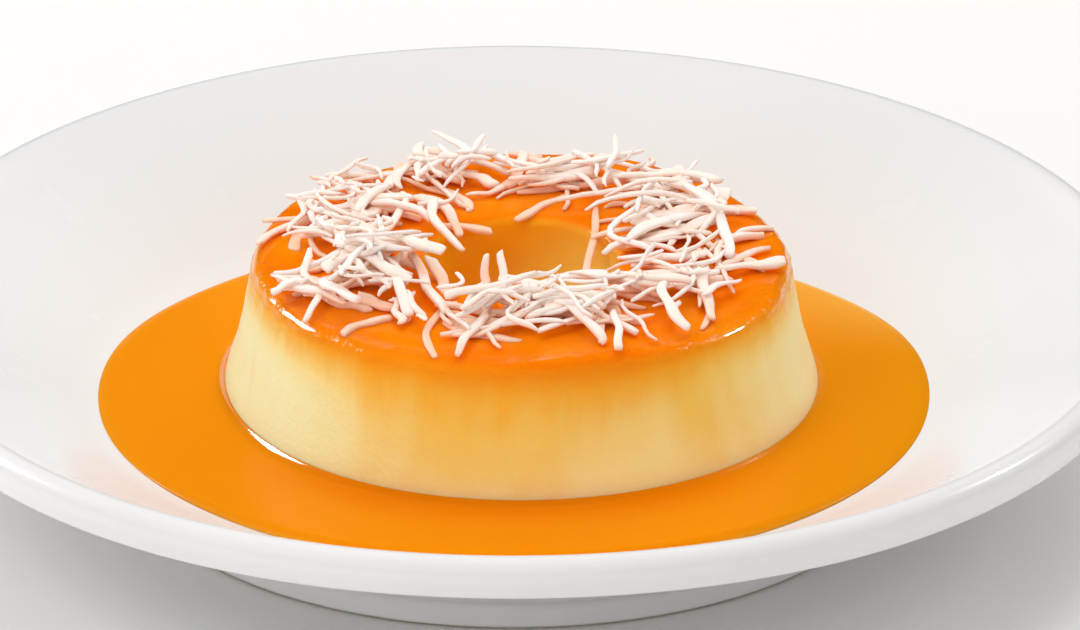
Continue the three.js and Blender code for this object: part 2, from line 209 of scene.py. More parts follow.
class Finish:
    """One material, built node by node."""

    def __init__(self, name, constants):
        self.material = bpy.data.materials.new(name)
        self.material.use_nodes = True
        self.tree = self.material.node_tree
        self.surface = self.tree.nodes["Principled BSDF"]
        for socket, value in constants.items():
            self.surface.inputs[socket].default_value = value

    def node(self, kind, settings=None, inputs=None, output=0):
        """Any node: its type, its settings, the value or link of each socket, and which output is wanted."""
        made = self.tree.nodes.new(kind)
        for key, value in (settings or {}).items():
            setattr(made, key, value)
        for key, value in (inputs or {}).items():
            if isinstance(value, Value):
                self.tree.links.new(value.socket, made.inputs[key])
            else:
                made.inputs[key].default_value = value
        return Value(self, made.outputs[output])

    def set(self, **links):
        for key, value in links.items():
            self.tree.links.new(value.socket, self.surface.inputs[key.replace("_", " ")])

    def place(self, scale=(1, 1, 1), offset=(0, 0, 0)):
        """Object coordinates less an offset in metres, then in millimetres times a scale."""
        where = self.node("ShaderNodeTexCoord", output=3)
        moved = self.node("ShaderNodeVectorMath", {"operation": "SUBTRACT"}, {0: where, 1: offset})
        size = tuple(1000 * s for s in scale)
        return self.node("ShaderNodeVectorMath", {"operation": "MULTIPLY"}, {0: moved, 1: size})

    def part(self, vector, axis):
        return self.node("ShaderNodeSeparateXYZ", None, {0: vector}, output=axis)

    def reach(self, offset=(0, 0, 0)):
        """Distance in millimetres from the upright axis through the offset."""
        level = self.place((1, 1, 0), offset)
        return self.node("ShaderNodeVectorMath", {"operation": "LENGTH"}, {0: level}, output=1)

    def attribute(self, name):
        return self.node("ShaderNodeAttribute", {"attribute_name": name}, output=2)

    def noise(self, where, scale, detail=2.0, roughness=0.5):
        values = {"Vector": where, "Scale": scale, "Detail": detail, "Roughness": roughness}
        return self.node("ShaderNodeTexNoise", None, values)

    def step(self, value, low, high, start=0.0, end=1.0):
        """Goes smoothly from start to end while the value goes from low to high."""
        values = {0: value, 1: low, 2: high, 3: start, 4: end}
        return self.node("ShaderNodeMapRange", {"interpolation_type": "SMOOTHSTEP"}, values)

    def mix(self, factor, first, second):
        """The first colour, and the second where the factor is 1."""
        first, second = (c if isinstance(c, Value) else (*c, 1) for c in (first, second))
        return self.node("ShaderNodeMix", {"data_type": "RGBA"}, {0: factor, 6: first, 7: second}, output=2)

    def bump(self, height, distance, strength=1.0):
        values = {"Height": height, "Distance": distance * 0.001, "Strength": strength}
        self.set(Normal=self.node("ShaderNodeBump", None, values))


def linear(red, green, blue):
    """A colour as it is seen on a screen, 0 to 255, as linear light."""
    seen = np.array([red, green, blue]) / 255
    light = np.where(seen < 0.04045, seen / 12.92, ((seen + 0.055) / 1.055) ** 2.4)
    return tuple(float(c) for c in light)


def toned(colour, red, green, blue):
    """A colour with each of its three parts scaled."""
    return tuple(c * f for c, f in zip(colour, (red, green, blue)))


def place_piece(piece, finish, slot, *nodes):
    """Gives a piece its material, lets it ride on the body, and has it stand for its solids. The slot is not
    used.
    """
    piece.data.materials.append(finish.material)
    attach(piece, "root")
    if nodes:
        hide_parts(*nodes)


# ---- Plate --------------------------------------------------------------------------------------------
FLOOR, BOWL, BOWL_START, WALL_SLOPE = 11.5, 44.2, 60.0, math.radians(29)
BOWL_END = BOWL_START + BOWL * math.sin(WALL_SLOPE)
# Thickness of the wall, height of the space inside the foot ring and height of the lip's outer face.
WALL, RECESS, LIP_FACE = 5, 4.6, 8.4
# Half the width and height of the lip's roll, and the radius where it gives way to the wall.
ROLL_WIDTH, ROLL_HEIGHT, ROLL_END = 3.2, 3.3, 111.2


def plate_height(radius):
    """The plate's upper face: a flat floor, then an arc of the bowl's radius, then a straight slope."""
    across = np.clip(radius - BOWL_START, 0, BOWL_END - BOWL_START)
    arc = FLOOR + BOWL - np.sqrt(BOWL**2 - across**2)
    return arc + np.maximum(radius - BOWL_END, 0) * math.tan(WALL_SLOPE)


def plate_line(props):
    """The plate's outline from the axis below to the axis above: foot, underside, lip, wall and floor. The
    lip's roll is part of an ellipse that the wall's slope touches."""
    outer, crest, foot = props.radius * 1000, props.height * 1000, props.foot_radius * 1000
    low, thick = crest - LIP_FACE, WALL / math.cos(WALL_SLOPE)
    under = lambda radius: float(plate_height(radius)) - thick
    drop = math.hypot(ROLL_WIDTH * math.sin(WALL_SLOPE), ROLL_HEIGHT * math.cos(WALL_SLOPE))
    middle = float(plate_height(outer - ROLL_WIDTH)) - drop / math.cos(WALL_SLOPE)
    corners = [(0, RECESS), (foot - 6.9, RECESS), (foot - 4.7, 0), (foot - 0.3, 0), (foot + 0.7, 5.4)]
    corners += [(foot + 3, 6.9), (BOWL_END + 3, under(BOWL_END + 3)), (outer - 4.6, under(outer - 4.6))]
    corners += [(outer - 1.1, low - 0.2), (outer, low + 3.4), (outer, middle)]
    outside = rounded(corners, [3, 1.2, 1.2, 1.6, 3, 10, 1.6, 1.3, 3], 9)
    a = np.radians(np.linspace(0, 118, 22)[1:])
    roll = np.stack([outer - ROLL_WIDTH * (1 - np.cos(a)), middle + ROLL_HEIGHT * np.sin(a)], 1)
    wall = np.linspace(ROLL_END, BOWL_START - 4, 48)
    wall = np.stack([wall, plate_height(wall)], 1)
    return resampled(np.concatenate([outside, roll, wall, [(0, FLOOR)]]), 2.0)


def build_plate(props):
    """The outline turned about the axis, with a ripple of a tenth of a millimetre that the kiln leaves."""
    line = plate_line(props)
    angle, radius, height = turned(line[1:-1], props.segments)
    rim = smoothstep(70, 115, radius)
    radius = radius + 0.12 * rim * waves(angle, 3, 2, 6, 3)
    height = height + 0.14 * rim * waves(angle, 4, 2, 5, 3)
    tips = [(0, 0, line[0, 1]), (0, 0, line[-1, 1])]
    return make_mesh("plate_porcelain", *capped(ring_points(radius, angle, height), tips, False))


def porcelain(props):
    """White porcelain under a clear glaze with a faint orange peel. It has slow patches, and painted shade
    makes it a touch greyer inside the bowl and greyer still on the far wall. It shows its bare body under the
    foot, and is glossiest on the lip."""
    constants = {"IOR": 1.5, "Coat Roughness": 0.06, "Coat IOR": 1.5, "Specular IOR Level": 0.1}
    finish = Finish("glazed_porcelain", constants)
    where = finish.place()
    height = finish.part(where, 2)
    reach = finish.reach()
    slow = finish.step(finish.noise(where, 0.018, 2.0), 0.35, 0.65)
    colour = finish.mix(slow, props.colour, toned(props.colour, 0.975, 0.975, 0.975))
    # Painted shade: a touch greyer inside the bowl, and greyer still on the far wall.
    inside = finish.step(height, 9, 11.4) * finish.step(reach, 106, 113, 1.0, 0.0)
    colour = finish.mix(inside, colour, toned(props.colour, 0.93, 0.96, 0.98))
    far = finish.step(finish.part(where, 1), 15, 85)
    colour = finish.mix(far, colour, toned(props.colour, 0.885, 0.9, 0.91))
    foot = finish.step(height, 0.15, 0.9)
    colour = finish.mix(foot, linear(214, 205, 192), colour)
    finish.set(
        Base_Color=colour,
        Roughness=finish.step(foot, 0, 1, 0.6, 0.24) + 0.05 * finish.noise(where, 0.06),
        Coat_Weight=foot * finish.step(reach, 111.5, 113.5, 0.06, 0.9),
    )
    peel = finish.noise(where, 0.35, 1.0) + 0.35 * finish.noise(where, 1.6, 1.0)
    finish.bump(peel, 0.02, 0.6)
    return finish


# ---- Custard ------------------------------------------------------------------------------------------
BASE, TOP, EDGE_FILLET, HOLE_FILLET = 11.8, 41.4, 2.6, 2.2
WALL_HEIGHTS = BASE + np.array([0, 1.4, 4, 7.5, 11, 16, 25.6])
WALL_RADII = np.array([53.7, 54.5, 54.7, 53.8, 52.5, 51.4, 49.8])
# Radii of the top's outside and of the hole above and below, and the height at which the outer edge starts.
EDGE_RADIUS, HOLE_RADIUS, HOLE_FOOT, EDGE_START = 49.4, 17.4, 14.4, 37.6
# Radius of the top's highest circle, and how far from it the top is a millimetre lower.
CROWN, CROWN_HALF = 31, 18.4
# The height above which the caramel covers the custard.
SOAKED = 39.6


def custard_top(radius):
    """The custard's top: a low crown that falls a millimetre at its outside and half as much at the hole."""
    return TOP - ((radius - CROWN) / CROWN_HALF) ** 2


def custard_wall(height):
    """Radius of the outer wall: a taper over the flare that the mould's lip leaves, smoothed over 3 mm."""
    near = np.asarray(height, float)[..., None] + np.linspace(-1.6, 1.6, 9)
    return np.interp(near, WALL_HEIGHTS, WALL_RADII).mean(-1)


def custard_ripple(angle, height):
    """How far the outer wall stands out from a true circle: broad swells and soft upright flutes."""
    flutes = waves(angle + 0.002 * height, 11, 16, 60, 9)
    calm = smoothstep(BASE + 3, BASE + 11, height)
    return 0.34 * waves(angle, 12, 2, 5, 3) + calm * (0.16 * waves(angle, 14, 6, 14, 4) + 0.11 * flutes)


def fillet(radius, size, degrees):
    """An arc whose top touches the crown at the radius, through angles that start from straight out."""
    a = np.radians(degrees)
    return np.stack([radius + size * np.cos(a), custard_top(radius) - size * (1 - np.sin(a))], 1)


def custard_line():
    """The custard's closed outline: outer wall, rounded edge, crowned top, rounded hole, and the foot."""
    heights = np.linspace(BASE, EDGE_START, 40)
    wall = np.stack([custard_wall(heights), heights], 1)
    edge_centre, hole_centre = EDGE_RADIUS - EDGE_FILLET, HOLE_RADIUS + HOLE_FILLET
    edge = fillet(edge_centre, EDGE_FILLET, np.linspace(12, 90, 16))
    across = np.linspace(edge_centre, hole_centre, 46)[1:-1]
    crown = np.stack([across, custard_top(across)], 1)
    hole = fillet(hole_centre, HOLE_FILLET, np.linspace(90, 176, 12))
    down = np.linspace(0, 1, 26)[1:, None]
    bore = hole[-1] * (1 - down) + np.array([HOLE_FOOT, BASE]) * down
    under = np.linspace(HOLE_FOOT, WALL_RADII[0], 16)[1:-1]
    foot = np.stack([under, np.full(under.size, BASE)], 1)
    return np.concatenate([wall, edge, crown, hole, bore, foot])


def build_custard(props):
    """The outline turned about the flan's axis. The outer wall adds its ripple, the hole a slower one, and
    the top rises and falls by a few tenths of a millimetre."""
    angle, radius, height = turned(custard_line(), props.segments)
    outer = smoothstep(40, 49, radius) * smoothstep(BASE - 0.5, BASE + 2, height)
    inner = 1 - smoothstep(16, 22, radius)
    upper = smoothstep(38, 40.5, height)
    level = 0.24 * waves(angle, 21, 2, 7, 4) * smoothstep(17, 30, radius)
    level = level + 0.12 * waves(angle + 0.05 * radius, 22, 5, 15, 4)
    radius = radius + outer * custard_ripple(angle, height) + inner * 0.3 * waves(angle, 23, 2, 9, 4)
    points = ring_points(radius, angle, height + upper * level, FLAN_CENTRE)
    return make_mesh("custard_ring", points, loop_quads(*radius.shape, True))


def custard_finish(props):
    """Baked custard. The side is cream, with soft upright bands and a paler blotch. Painted light keeps it
    pale at the lit left and right ends, with broad tan across the less lit front and yellow towards the
    right, and painted bounce light from the sauce warms its skirt. Caramel has soaked into the top: it runs
    down the side in streaks, fades through gold, leaves a yellow halo, and is dark and wet where it lies. The
    hole's wall is painted with a glow of light that passes through the custard."""
    constants = {"IOR": 1.4, "Specular IOR Level": 0.08, "Coat Roughness": 0.05, "Coat IOR": 1.35}
    constants.update({"Subsurface Weight": 0.7, "Subsurface Radius": (1.0, 0.6, 0.45)})
    constants["Subsurface Scale"] = 0.0022
    finish = Finish("custard", constants)
    axis = (FLAN_X, FLAN_Y, 0)
    where = finish.place(offset=axis)
    x, y, z = (finish.part(where, k) for k in range(3))
    reach = finish.reach(axis)
    facing = x / reach
    upright = finish.place((1, 1, 0.15), axis)
    bands = finish.noise(upright, 0.09, 1.5)
    broad = finish.noise(upright, 0.03, 1.0)
    patches = finish.noise(where, 0.06, 2.0)

    # Painted light: the side is pale cream at the far left and at the far right, where the lamps light it,
    # tan across the less lit front and yellow towards the right.
    across = facing + 0.3 * (broad - 0.5)
    tan = finish.mix(finish.step(across, 0.1, 0.8), props.tan, props.yellow)
    side = finish.mix(finish.step(across, -0.86, -0.32), props.cream, tan)
    side = finish.mix(finish.step(across, 0.7, 1.0, 0.0, 0.7), side, props.cream)
    side = finish.mix(finish.step(bands, 0.4, 0.72, 0.0, 0.35), side, props.cream)
    blotch = finish.step(facing, 0.1, 0.3) * finish.step(facing, 0.46, 0.6, 0.4, 0.0)
    side = finish.mix(blotch, side, props.cream)
    # Painted bounce light from the sauce: warmer towards the foot and orange just above the sauce, except at
    # the far left.
    inward = finish.step(facing, -0.8, -0.35)
    low = finish.step(z, 13, 30, 0.6, 0.0) * finish.step(patches, 0.3, 0.6, 0.4, 1.0)
    side = finish.mix(low * inward, side, linear(253, 226, 170))
    side = finish.mix(inward * finish.step(z, 15, 19.5, 0.6, 0.0), side, linear(255, 212, 162))
    side = finish.mix(inward * finish.step(z, 15.4, 16.6, 0.6, 0.0), side, linear(255, 186, 96))

    # How far the caramel runs down the side: half as far at the left and right as in front.
    left = finish.step(facing, -0.95, -0.35, 1.0, 0.0)
    right = finish.step(facing, 0.2, 0.8)
    drop = 5.2 - 2.6 * left - 2.6 * right
    streaks = finish.noise(finish.place((1, 1, 0.1), axis), 0.22, 2.0, 0.6)
    below = (SOAKED - z) / drop + 0.4 * (bands - 0.5) + 0.7 * (patches - 0.5)
    soak = finish.step(below + 1.6 * (streaks - 0.5), 0.0, 2.7, 1.0, 0.0)
    halo = finish.mix(finish.step(below, 0.8, 4.2, 0.75, 0.0), side, linear(255, 204, 92))
    gold = finish.mix(soak, halo, props.gold)
    colour = finish.mix(finish.step(below, -0.5, 1.0, 1.0, 0.0), gold, props.caramel)
    slow = finish.step(finish.noise(where, 0.09, 2.0), 0.3, 0.7)
    top = finish.mix(slow, props.caramel, toned(props.caramel, 0.95, 0.8, 0.8))
    colour = finish.mix(finish.step(z, SOAKED, 40.8), colour, top)
    # Partly painted light: the hole's wall is caramel orange at its top and yellow below, and it is painted
    # bright, yellowest low down and to the right, for a glow of light that passes through the custard.
    high = finish.step(z - 0.7 * x, 12, 40)
    bore = finish.mix(high, linear(255, 244, 130), linear(255, 172, 24))
    colour = finish.mix(finish.step(reach, 17.0, 18.8, 1.0, 0.0), colour, bore)

    wet_edge = finish.step(reach, 44.5, 46.5, 0.08, 1.0) * finish.step(z, 37.5, 39.5, 0.05, 1.0)
    finish.set(
        Base_Color=colour,
        Roughness=finish.step(soak, 0, 1, 0.36, 0.16) + 0.12 * (finish.noise(where, 0.5) - 0.5),
        Coat_Weight=soak * wet_edge,
    )
    lumps = finish.noise(where, 0.7, 2.0) * finish.step(reach, 44, 46.5, 0.3, 9.0)
    swells = 0.5 * finish.noise(where, 0.25, 1.0)
    finish.bump(lumps * finish.step(z, 37.5, 38.8, 0.4, 1.0) + swells, 0.07, 0.7)
    return finish


# ---- Sauce --------------------------------------------------------------------------------------------
LEVEL = 15.1
# Half the pool's width, and its reach to the front and to the back of the plate's axis.
POOL_HALF, POOL_FRONT, POOL_BACK = 76.6, 71.8, 73
# How high and how far out the sauce climbs against the custard, and how deep it passes into it.
CLIMB, CLIMB_REACH, OVERLAP = 1.3, 0.95, 0.35
# The same climb in the hole, and the radius at which it is full.
WELL_CLIMB, WELL_REACH, WELL_WALL = 0.7, 0.8, 14.6
# Width of the pool's rounded edge, and how deep its underside lies in the plate's glaze.
EDGE_ROUND, GLAZE = 2.2, 0.08


def pool_edge(angle):
    """The pool's edge from the plate's centre: an oval with a slight wander."""
    depth = np.where(np.sin(angle) < 0, POOL_FRONT, POOL_BACK)
    oval = 1 / np.hypot(np.cos(angle) / POOL_HALF, np.sin(angle) / depth)
    return oval + 0.35 * waves(angle, 31, 3, 9, 4)


def build_pool():
    """The sauce round the flan. At each angle its surface is flat, climbs in a short exponential against the
    custard, and ends in a quarter round on the plate. The underside lies just in the plate's glaze."""
    angle = np.linspace(0, 2 * math.pi, 256, endpoint=False)
    edge = pool_edge(angle)
    fx, fy = FLAN_CENTRE
    along = fx * np.cos(angle) + fy * np.sin(angle)
    across = -fx * np.sin(angle) + fy * np.cos(angle)
    seen = np.arctan2(edge * np.sin(angle) - fy, edge * np.cos(angle) - fx)
    custard = custard_wall(LEVEL) + custard_ripple(seen, LEVEL)
    inner = along + np.sqrt(custard**2 - across**2) - OVERLAP
    close_in = np.linspace(0, 0.25, 16) ** 1.4
    far_out = 1 - np.linspace(0.1**0.5, 0, 14)[1:] ** 2
    t = np.unique(np.concatenate([close_in, np.linspace(0.25, 0.9, 12)[1:], far_out]))[:, None]
    radius = inner + (edge - inner) * t
    away = np.hypot(radius * np.cos(angle) - fx, radius * np.sin(angle) - fy) - custard
    flat = LEVEL + CLIMB * np.exp(-np.maximum(away, 0) / CLIMB_REACH)
    bed = plate_height(radius)
    round_in = np.clip(1 - (edge - radius) / EDGE_ROUND, 0, 1)
    top = bed + (flat - bed) * np.sqrt(1 - round_in**2)
    low_radius = inner + (edge - inner) * np.linspace(1, 0, 10)[1:, None]
    low = plate_height(low_radius) - GLAZE
    rings = np.concatenate([radius, low_radius])
    points = ring_points(rings, angle, np.concatenate([np.maximum(top, bed), low]))
    fields = {
        "depth": np.concatenate([top - bed, np.full_like(low, 3.0)]),
        "away": np.concatenate([away, np.zeros_like(low)]),
    }
    return make_mesh("caramel_sauce", points, loop_quads(*rings.shape, True)[:, ::-1], attributes=fields)


def build_well():
    """The sauce in the flan's hole: a disc whose rim climbs in a short exponential against the custard."""
    angle = np.linspace(0, 2 * math.pi, 96, endpoint=False)
    rings = np.array([2, 4, 6, 8, 10, 11.5, 12.5, 13.2, 13.8, 14.4, 15.0])[:, None] + 0 * angle
    heights = LEVEL + WELL_CLIMB * np.exp(-np.maximum(WELL_WALL - rings, 0) / WELL_REACH)
    low_rings = np.array([15.0, 8.0, 2.0])[:, None] + 0 * angle
    radius = np.concatenate([rings, low_rings])
    height = np.concatenate([heights, np.full_like(low_rings, FLOOR - GLAZE)])
    tips = [(*FLAN_CENTRE, LEVEL), (*FLAN_CENTRE, FLOOR - GLAZE)]
    every, quads, fans = capped(ring_points(radius, angle, height, FLAN_CENTRE), tips, True)
    fields = {"depth": np.full(len(every), 3.5), "away": np.full(len(every), 3.0)}
    return make_mesh("caramel_in_hole", every, quads, fans, fields)


def caramel_finish(props):
    """Caramel sauce over white: a pale film at its very edge, amber where thin and orange where deep. Painted
    light makes it darker to the left, yellower to the right and paler behind, and painted shade makes it
    browner beside the custard at the front. Its gloss is fullest where it climbs the custard at the left."""
    constants = {"IOR": 1.4, "Specular IOR Level": 0.03, "Coat Roughness": 0.03, "Coat IOR": 1.45}
    constants.update({"Subsurface Weight": 0.2, "Subsurface Radius": (1.0, 0.35, 0.05)})
    constants["Subsurface Scale"] = 0.002
    finish = Finish("caramel", constants)
    where = finish.place()
    depth = finish.attribute("depth")
    away = finish.attribute("away")
    slow = finish.noise(where, 0.03, 1.0)
    x = finish.part(where, 0) + 12 * (slow - 0.5)
    y = finish.part(where, 1)
    thin = finish.step(depth + 0.5 * (slow - 0.5), 0.1, 1.5)
    colour = finish.mix(thin, props.thin, props.deep)
    colour = finish.mix(finish.step(depth, 0.0, 0.3, 0.7, 0.0), colour, linear(252, 212, 160))
    # Painted light: paler behind, darker to the left, and yellower to the right, paler still behind there.
    colour = finish.mix(finish.step(y, 20, 75, 0.0, 0.6), colour, props.thin)
    right = finish.step(x, 25, 75)
    colour = finish.mix(right, colour, toned(props.deep, 0.82, 0.94, 1.0))
    colour = finish.mix(right * finish.step(y, 15, 60, 0.0, 0.9), colour, linear(246, 186, 84))
    left = finish.step(x, -65, -30, 0.8, 0.0)
    colour = finish.mix(left, colour, toned(props.deep, 0.86, 0.92, 0.5))
    # Painted shade: a browner band beside the custard at the front.
    beside = finish.step(away + 3 * (slow - 0.5), 0.5, 11, 1.0, 0.0) * finish.step(y, -48, -22, 1.0, 0.0)
    colour = finish.mix(beside * 0.8, colour, props.shaded)
    wet = finish.step(away, 0.7, 2.0, 1.0, 0.03) * finish.step(x, 8, 30, 1.0, 0.02)
    finish.set(Base_Color=colour, Roughness=0.18 + 0.1 * slow, Coat_Weight=wet)
    finish.bump(finish.noise(where, 0.05, 1.0), 0.12, 0.35)
    return finish


# ---- Coconut ------------------------------------------------------------------------------------------
# Azimuth from +X in degrees, distance from the flan's axis, spread and share of each loose heap.
HEAPS = [
    (20, 29, 6, 9), (40, 37, 6, 8), (64, 31, 5, 4), (86, 36, 5, 4),
    (110, 37, 5, 5), (130, 31, 6, 6), (146, 38, 5.5, 6), (172, 35, 5.5, 5),
    (194, 30, 6, 9), (208, 38, 5.5, 6), (230, 33, 6, 6), (254, 33, 5.5, 5),
    (274, 28, 5.5, 6), (296, 32, 6, 6), (322, 34, 5.5, 6), (345, 30, 5.5, 6),
    (2, 37, 5, 4),
]
# Shreds that stand out: both ends on the flan, how much they bend, their width, and how far the end curls up.
LEADING = [
    ((-35, 17), (-49.5, 4), 0.9, 1.9, 1.5), ((-15.5, 13), (-5.5, 12), -0.4, 1.9, 0),
    ((-17.5, 15), (-12, -1), 1.1, 1.9, 0), ((-6.7, -15.5), (-6.5, -6.5), 0, 1.9, 4.5),
    ((-3.4, -18.5), (-3.5, -8.5), 0.3, 1.7, 4), ((14.2, 20), (11.5, -10), -0.1, 1.7, 0),
    ((8.5, 26), (-1, 16), 0.3, 1.9, 0), ((36, 14), (19, -1), 0.3, 2.6, 0),
    ((32.5, 19.5), (39.5, -5.5), -0.8, 2.3, 0), ((36, -10.5), (48.5, -5), 0.2, 2.4, 0),
    ((33, -8.5), (34.5, -29.5), 0.3, 2.3, 0), ((25, -23.5), (29.5, -36), 1, 2.3, 0),
    ((6.5, -30), (15.5, -41.5), -0.3, 1.9, 0), ((17, -31.5), (18, -44.5), -0.3, 1.7, 0),
    ((-26, -13), (-20, -30.5), -0.5, 2.2, 0), ((-20, -6), (-14, -30), 0.1, 2, 0),
    ((-12.5, -20), (-16, -8), 0.3, 2.8, 3), ((-33, -34), (-24, -28.5), -0.8, 1.9, 0),
    ((-31, 9), (-22.5, 33), 0.1, 2.4, 0), ((-16, 29.5), (-8.5, 20), -1.2, 2, 0),
    ((-3, -16.5), (15.5, -18), 0, 2.6, 0), ((-12, -46), (-6.5, -32), -0.2, 1.9, 0),
    ((-44, -18), (-32, -26.5), -0.3, 1.9, 0), ((-45.5, -23.5), (-40.5, -18.5), -0.3, 1.8, 0),
    ((-12, 33), (-4.5, 29), -0.9, 2.1, 0),
]
# Broad pale strips that lie on top of the heaps, in the same form.
BROAD = [
    ((-36, -18), (-26, -6), -0.5, 3.4, 0), ((-29, -5.5), (-17.5, -5.5), -0.7, 3.2, 0),
    ((-31, -12), (-21, -21), 0.7, 3.0, 0), ((-34, -10), (-20, -13), 0.4, 3.2, 0),
    ((-25, -8), (-14.5, -14), 0.5, 2.8, 0), ((-37, -21), (-30, -30), 0.6, 2.4, 0),
    ((19, -1), (37, 10), 0.3, 3.2, 0), ((20.5, 6), (35, 15), 0.3, 3.0, 0),
    ((25, 15.5), (38, 22), -0.4, 3.4, 0), ((16.7, -14.5), (31, -12), 0.4, 3.0, 0),
    ((20, -8), (34, -3), -0.4, 2.8, 0), ((1.6, -27.5), (17.2, -25), 0.3, 3.2, 0),
    ((2, -35), (12.6, -28.5), -0.4, 2.8, 0), ((-9, -29), (3, -22), 0.3, 2.6, 0),
    ((-31, 5.7), (-25, 22), 0.5, 2.8, 0), ((-18, 24.5), (-10.4, 9.5), -0.9, 2.4, 0),
    ((-40, 3), (-28, 10), 0.4, 2.6, 0), ((-34, 15), (-21, 21), -0.5, 2.6, 0),
    ((-2, 27.5), (13.5, 28.5), 0.5, 2.4, 0),
]
# The height map's cell, half its width, its number of cells to a side, and the points along a shred.
CELL, HALF_MAP, SAMPLES = 0.75, 54.0, 25
MAP_SIDE = round(2 * HALF_MAP / CELL)
# How far a shred reaches to each side as a share of its width, how fast it falls away past what holds it up,
# the share of its thickness that holds up the next one, how deep it settles, and the length of its tips.
REACH, FALL, HOLDS, SETTLED, TIP = 0.45, 0.018, 0.7, 0.5, 0.25
# Thickness of the shreds that are placed one by one.
THICKNESS = 1.15
# Share of the heap's height on which the fine shreds and then the broad strips are laid.
FINE_LEVEL, BROAD_LEVEL = 0.45, 0.55


def random_numbers(seed):
    """Seeded numbers from 0 to 1, in the order in which the solids draw theirs."""
    mask, state = 0xFFFFFFFF, seed
    while True:
        state = (state + 0x6D2B79F5) & mask
        t = ((state ^ (state >> 15)) * (state | 1)) & mask
        t = (t + (((t ^ (t >> 7)) * (t | 61)) & mask)) & mask ^ t
        yield ((t ^ (t >> 14)) & mask) / 4294967296


def drawn_shred(draw, length, width, thickness, wider=1.0):
    """One loose shred: heap, middle, heading, length, bend, width, thickness, roll and end curl."""
    pick = next(draw) * sum(heap[3] for heap in HEAPS)
    for azimuth, distance, spread, share in HEAPS:
        pick -= share
        if pick <= 0:
            break
    bell = lambda: next(draw) + next(draw) + next(draw) - 1.5
    out = distance + bell() * spread * wider * 1.3
    aside = bell() * spread * wider * 1.9
    a = math.radians(azimuth)
    middle = (out * math.cos(a) - aside * math.sin(a), out * math.sin(a) + aside * math.cos(a))
    shred = {"middle": middle, "heading": next(draw) * math.pi}
    shred["length"] = length[0] + (length[1] - length[0]) * next(draw) ** 1.3
    shred["bend"] = (next(draw) - 0.5) * 3.0 * wider
    shred["width"] = width[0] + (width[1] - width[0]) * next(draw) ** 1.6
    shred["thickness"] = thickness[0] + (thickness[1] - thickness[0]) * next(draw)
    shred["roll"] = (next(draw) - 0.5) * 1.1
    shred["curl"] = 2 * next(draw) if next(draw) < 0.2 else 0.0
    return shred


def leading_shred(start, end, bend, width, curl):
    """A shred between two ends. Its arc is longer than the straight run, by the square of its bend."""
    run = np.subtract(end, start)
    middle = tuple(np.add(start, end) / 2)
    length = float(np.hypot(*run)) * (1 + bend**2 / 24)
    shred = {"middle": middle, "heading": math.atan2(run[1], run[0]), "length": length, "bend": bend}
    return {**shred, "width": width, "thickness": THICKNESS, "roll": 0.0, "curl": curl}


def height_map():
    """Heights of the custard's top on a square grid; past its edges they fall away gently."""
    centre = (np.arange(MAP_SIDE) + 0.5) * CELL - HALF_MAP
    radius = np.hypot(*np.meshgrid(centre, centre))
    held = np.clip(radius, 18.0, 48.6)
    return custard_top(held) - 0.25 * np.abs(radius - held)


def map_cells(places):
    """Rows and columns of the height map's cells that hold the places."""
    cells = np.clip(np.floor((places + HALF_MAP) / CELL).astype(int), 0, MAP_SIDE - 1)
    return cells[..., 1], cells[..., 0]


def softened(heights):
    """A map in which each cell is the mean of the five by five cells round it."""
    near = range(-2, 3)
    return sum(np.roll(heights, (i, j), (0, 1)) for i in near for j in near) / len(near) ** 2


def laid_shred(shred, heights):
    """Lays a shred on the map. Its plan is an arc, or an S where it sways. Its height is the highest of the
    parabolas that fall away from each point that holds it up, and its far end may curl up. The map then rises
    to its top, without the curl where that is free of the heap."""
    along = (np.arange(SAMPLES - 1) + 0.5) / (SAMPLES - 1)
    sway = shred.get("sway", 0.0) * np.sin(2 * math.pi * along)
    turn = shred["heading"] + shred["bend"] * (along - 0.5) + sway
    step = shred["length"] / (SAMPLES - 1)
    plan = np.concatenate([[(0, 0)], np.cumsum(step * np.stack([np.cos(turn), np.sin(turn)], 1), 0)])
    plan += np.array(shred["middle"]) - plan.mean(0)
    run = np.gradient(plan, axis=0)
    side = np.stack([-run[:, 1], run[:, 0]], 1) / np.hypot(*run.T)[:, None]
    feet = plan[:, None] + side[:, None] * (np.array([-REACH, 0, REACH]) * shred["width"])[None, :, None]
    cells = map_cells(feet)
    gap = (np.arange(SAMPLES)[:, None] - np.arange(SAMPLES)[None]) * step
    lift = shred["curl"] * np.maximum(0, np.linspace(-1, 1, SAMPLES)) ** 2
    rest = (heights[cells].max(1)[None] - FALL * gap**2).max(1) + lift
    raised = rest - shred.get("free", 0) * lift + shred["thickness"] * HOLDS
    np.maximum.at(heights, cells, raised[:, None])
    line = np.column_stack([plan, rest + shred["thickness"] / 2 - SETTLED])
    return line, side


def tube_faces(count, rings, corners):
    """Quads and end fans of many closed tubes whose points come ring by ring, and then two tips for each."""
    ring = np.arange(count * rings * corners).reshape(count, rings, corners)
    after = np.roll(ring, -1, 2)
    quads = np.stack([ring[:, :-1], ring[:, 1:], after[:, 1:], after[:, :-1]], -1).reshape(-1, 4)[:, ::-1]
    tip = np.repeat(ring.size + 2 * np.arange(count)[:, None], corners, 1)
    start = np.stack([tip, after[:, 0], ring[:, 0]], -1)
    end = np.stack([tip + 1, ring[:, -1], after[:, -1]], -1)
    return quads, np.concatenate([start.reshape(-1, 3), end.reshape(-1, 3)])


